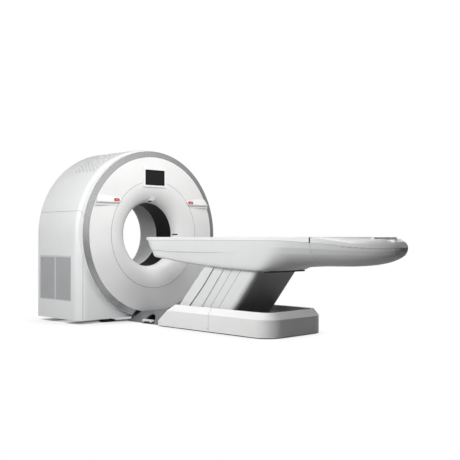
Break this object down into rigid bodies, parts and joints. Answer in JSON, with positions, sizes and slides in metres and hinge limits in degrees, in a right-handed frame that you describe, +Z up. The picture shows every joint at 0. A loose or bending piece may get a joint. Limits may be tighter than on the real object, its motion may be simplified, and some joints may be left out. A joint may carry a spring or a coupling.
{
  "type": "ct scanner",
  "caption": "Medical CT scanner: ring-shaped gantry with a spinning rotor, and a patient table whose column leans to lift the top and whose cradle slides into the bore.",
  "frame": {"origin": "on the floor, at the middle of the four gantry anchor holes; the bore axis runs over it", "axes": "+Z up; +Y along the bore from the table's side to the back; X across, symmetric about X = 0"},
  "size_m": [1.864, 4.0747, 1.858],
  "materials": {
    "white_cover": "smooth satin white",
    "light_cover": "smooth satin off-white",
    "silver_trim": "fine silver paint",
    "grille": "silver-grey paint, perforated",
    "black_gloss": "glossy black",
    "screen": "dark glossy screen",
    "red_button": "glossy red",
    "bridge_sheet": "satin grey paint",
    "dark_cover": "satin dark grey paint",
    "panel_grey": "satin light grey paint",
    "frame_paint": "satin dark grey paint",
    "rail_steel": "ground steel",
    "bearing_steel": "ground steel",
    "drum_alloy": "machined",
    "unit_paint": "grey-blue paint",
    "tube_paint": "bronze paint",
    "detector_black": "matt black",
    "counter_iron": "bare cast",
    "slip_brass": "turned tracks",
    "brush_plastic": "matt black",
    "belt_rubber": "matt black",
    "feet_black": "black paint"
  },
  "bodies": {
    "base": {"gantry_base_frame": "frame_paint", "anchor_feet": "feet_black", "stator_frame": "frame_paint", "bearing_outer_ring": "bearing_steel", "brush_block": "brush_plastic", "drive_motor": "frame_paint", "drive_belt": "belt_rubber", "power_cabinet": "unit_paint", "top_shell": "light_cover", "side_cover_left": "white_cover", "side_cover_right": "white_cover", "side_grille_left": "grille", "side_grille_right": "grille", "front_rim": "white_cover", "trim_ring": "silver_trim", "front_cover_upper": "white_cover", "front_cover_lower": "white_cover", "front_funnel": "white_cover", "scan_window": "black_gloss", "back_funnel": "white_cover", "back_cover": "white_cover", "screen_bezel": "white_cover", "screen": "screen", "laser_windows": "black_gloss", "bridge_frame": "frame_paint", "bridge_cover": "bridge_sheet", "table_base_frame": "frame_paint", "base_cover_front": "white_cover", "base_cover_rear": "light_cover", "lower_pins": "rail_steel", "lift_gearmotor": "frame_paint"},
    "rotor": {"bearing_inner_ring": "bearing_steel", "rotor_drum": "drum_alloy", "xray_tube": "tube_paint", "collimator": "unit_paint", "detector_arc": "detector_black", "hv_generator": "unit_paint", "heat_exchanger": "drum_alloy", "counterweight": "counter_iron", "slip_ring": "slip_brass"},
    "pulley": {"drive_pulley": "bearing_steel"},
    "estop_left": {"estop_left": "red_button"},
    "estop_right": {"estop_right": "red_button"},
    "pedal_left": {"foot_pedal_left": "white_cover"},
    "pedal_right": {"foot_pedal_right": "white_cover"},
    "front_link": {"front_link": "rail_steel", "front_column_cover": "white_cover"},
    "panel_1": {"side_panel_1": "panel_grey"},
    "panel_2": {"side_panel_2": "panel_grey"},
    "panel_3": {"side_panel_3": "panel_grey"},
    "rear_link": {"rear_link": "rail_steel", "rear_column_cover": "dark_cover"},
    "table_top": {"top_frame": "frame_paint", "pivot_brackets": "frame_paint", "hull_front": "light_cover", "hull_rear": "light_cover", "top_rim": "white_cover", "foot_end_cover": "white_cover", "cradle_rails": "rail_steel"},
    "cradle": {"cradle": "white_cover"}
  },
  "joints": [
    {"name": "rotor_spin", "type": "hinge", "parent": "base", "child": "rotor", "pos_m": [0, 0.075, 0.926], "axis": [0, 1, 0], "continuous": true},
    {"name": "pulley_spin", "type": "hinge", "parent": "base", "child": "pulley", "pos_m": [-0.62225, 0.065, 0.30375], "axis": [0, 1, 0], "continuous": true},
    {"name": "lift", "type": "hinge", "parent": "base", "child": "front_link", "pos_m": [0, -1.273, 0.12], "axis": [1, 0, 0], "range_deg": [-5, 19]},
    {"name": "table_level", "type": "hinge", "parent": "front_link", "child": "table_top", "pos_m": [0, -1.71038, 0.66012], "axis": [1, 0, 0], "range_deg": [-19, 5]},
    {"name": "panel_1_turn", "type": "hinge", "parent": "base", "child": "panel_1", "pos_m": [0, -1.388, 0.12], "axis": [1, 0, 0], "range_deg": [-5, 19]},
    {"name": "panel_2_turn", "type": "hinge", "parent": "base", "child": "panel_2", "pos_m": [0, -1.521, 0.12], "axis": [1, 0, 0], "range_deg": [-5, 19]},
    {"name": "panel_3_turn", "type": "hinge", "parent": "base", "child": "panel_3", "pos_m": [0, -1.642, 0.12], "axis": [1, 0, 0], "range_deg": [-5, 19]},
    {"name": "rear_link_turn", "type": "hinge", "parent": "base", "child": "rear_link", "pos_m": [0, -1.803, 0.12], "axis": [1, 0, 0], "range_deg": [-5, 19]},
    {"name": "cradle_slide", "type": "slide", "parent": "table_top", "child": "cradle", "axis": [0, 1, 0], "range_m": [0, 1.5]},
    {"name": "estop_left_press", "type": "slide", "parent": "base", "child": "estop_left", "axis": [0, 0.9424, -0.3344], "range_m": [0, 0.004], "stiffness_N_per_m": 1500, "springref_m": -0.003},
    {"name": "estop_right_press", "type": "slide", "parent": "base", "child": "estop_right", "axis": [0, 0.9424, -0.3344], "range_m": [0, 0.004], "stiffness_N_per_m": 1500, "springref_m": -0.003},
    {"name": "pedal_left_press", "type": "hinge", "parent": "base", "child": "pedal_left", "pos_m": [-0.318, -0.785, 0.032], "axis": [0, -1, 0], "range_deg": [0, 8], "stiffness_Nm_per_rad": 6, "springref_deg": -5.73},
    {"name": "pedal_right_press", "type": "hinge", "parent": "base", "child": "pedal_right", "pos_m": [0.318, -0.785, 0.032], "axis": [0, 1, 0], "range_deg": [0, 8], "stiffness_Nm_per_rad": 6, "springref_deg": -5.73}
  ],
  "couplings": [
    {"joint": "pulley_spin", "follows": "rotor_spin", "ratio": 15.6},
    {"joint": "table_level", "follows": "lift", "ratio": -1},
    {"joint": "panel_1_turn", "follows": "lift", "ratio": 1},
    {"joint": "panel_2_turn", "follows": "lift", "ratio": 1},
    {"joint": "panel_3_turn", "follows": "lift", "ratio": 1},
    {"joint": "rear_link_turn", "follows": "lift", "ratio": 1}
  ]
}
